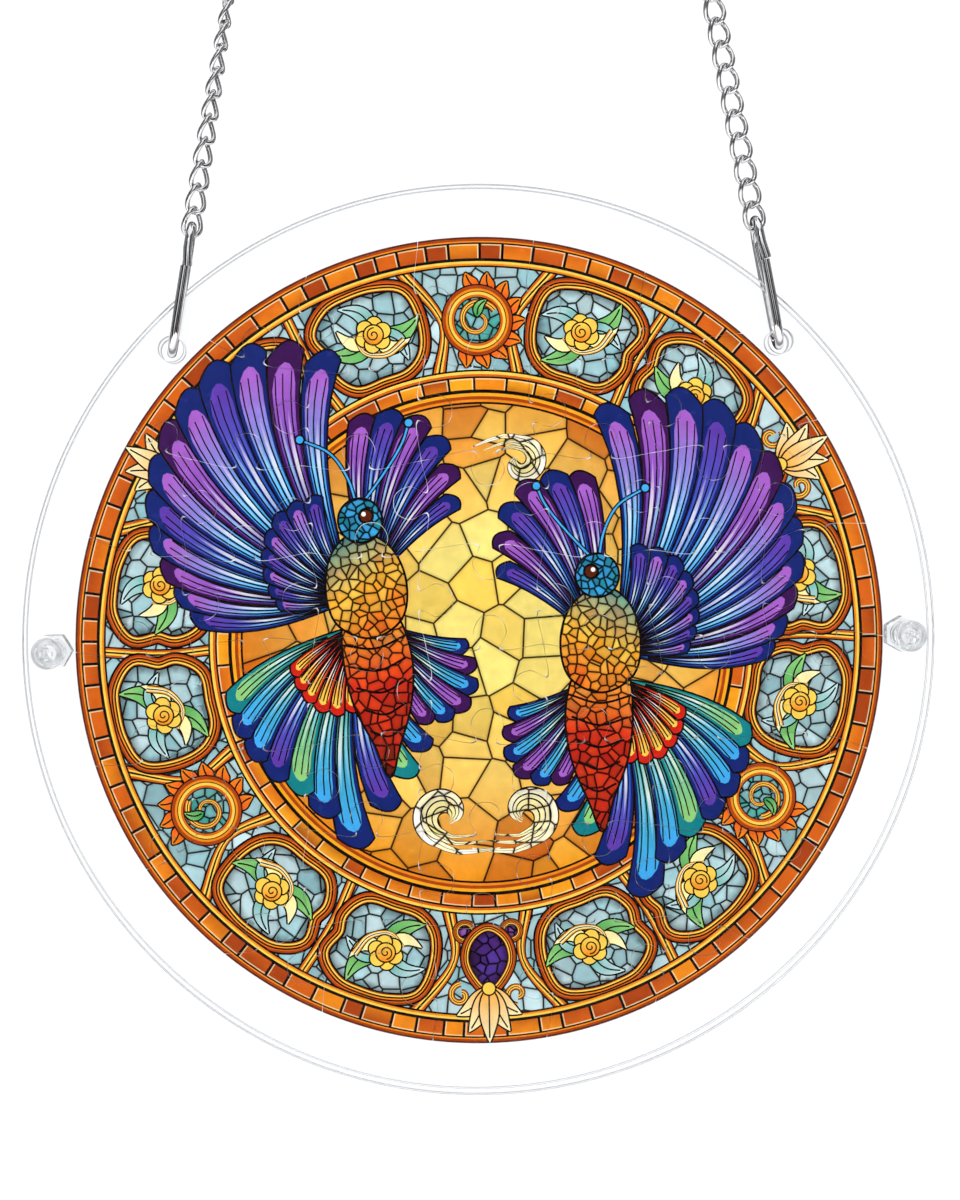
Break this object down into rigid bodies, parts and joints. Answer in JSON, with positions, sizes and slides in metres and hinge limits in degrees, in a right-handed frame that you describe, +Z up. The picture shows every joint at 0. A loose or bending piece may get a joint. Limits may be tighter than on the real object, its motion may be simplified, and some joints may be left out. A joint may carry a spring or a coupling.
{
  "type": "acrylic puzzle suncatcher",
  "caption": "Round printed acrylic jigsaw clamped between two clear plates by clear screws, hung by oval steel links and curb chains that end in rings.",
  "frame": {"origin": "midway between the points where the two top rings hang, in the disc's mid plane", "axes": "+Z up, -Y towards the front of the disc, +X to the right as seen from the front"},
  "size_m": [0.2, 0.0142, 0.2543],
  "materials": {
    "clear_acrylic": "clear polished acrylic sheet with laser-cut edges",
    "printed_acrylic": "acrylic tile printed on both faces with a stained-glass design",
    "clear_nylon": "clear moulded plastic",
    "steel": "polished plated steel wire"
  },
  "bodies": {
    "root": {"front_plate": "clear_acrylic", "back_plate": "clear_acrylic", "puzzle_piece_01": "printed_acrylic", "puzzle_piece_02": "printed_acrylic", "puzzle_piece_03": "printed_acrylic", "puzzle_piece_04": "printed_acrylic", "puzzle_piece_05": "printed_acrylic", "puzzle_piece_06": "printed_acrylic", "puzzle_piece_07": "printed_acrylic", "puzzle_piece_08": "printed_acrylic", "puzzle_piece_09": "printed_acrylic", "puzzle_piece_10": "printed_acrylic", "puzzle_piece_11": "printed_acrylic", "puzzle_piece_12": "printed_acrylic", "puzzle_piece_13": "printed_acrylic", "puzzle_piece_14": "printed_acrylic", "puzzle_piece_15": "printed_acrylic", "puzzle_piece_16": "printed_acrylic", "puzzle_piece_17": "printed_acrylic", "puzzle_piece_18": "printed_acrylic", "puzzle_piece_19": "printed_acrylic", "puzzle_piece_20": "printed_acrylic", "puzzle_piece_21": "printed_acrylic", "puzzle_piece_22": "printed_acrylic", "puzzle_piece_23": "printed_acrylic", "puzzle_piece_24": "printed_acrylic", "puzzle_piece_25": "printed_acrylic", "puzzle_piece_26": "printed_acrylic", "puzzle_piece_27": "printed_acrylic", "puzzle_piece_28": "printed_acrylic", "puzzle_piece_29": "printed_acrylic", "puzzle_piece_30": "printed_acrylic", "puzzle_piece_31": "printed_acrylic", "puzzle_piece_32": "printed_acrylic", "puzzle_piece_33": "printed_acrylic", "puzzle_piece_34": "printed_acrylic", "puzzle_piece_35": "printed_acrylic", "puzzle_piece_36": "printed_acrylic", "puzzle_piece_37": "printed_acrylic", "puzzle_piece_38": "printed_acrylic", "puzzle_piece_39": "printed_acrylic", "puzzle_piece_40": "printed_acrylic", "puzzle_piece_41": "printed_acrylic", "puzzle_piece_42": "printed_acrylic", "puzzle_piece_43": "printed_acrylic", "puzzle_piece_44": "printed_acrylic", "puzzle_piece_45": "printed_acrylic", "puzzle_piece_46": "printed_acrylic", "puzzle_piece_47": "printed_acrylic", "puzzle_piece_48": "printed_acrylic", "screw_left": "clear_nylon", "screw_right": "clear_nylon", "nut_left": "clear_nylon", "nut_right": "clear_nylon", "hanging_link_left": "steel", "hanging_link_right": "steel", "chain_left": "steel", "chain_right": "steel", "top_ring_left": "steel", "top_ring_right": "steel"}
  },
  "joints": []
}
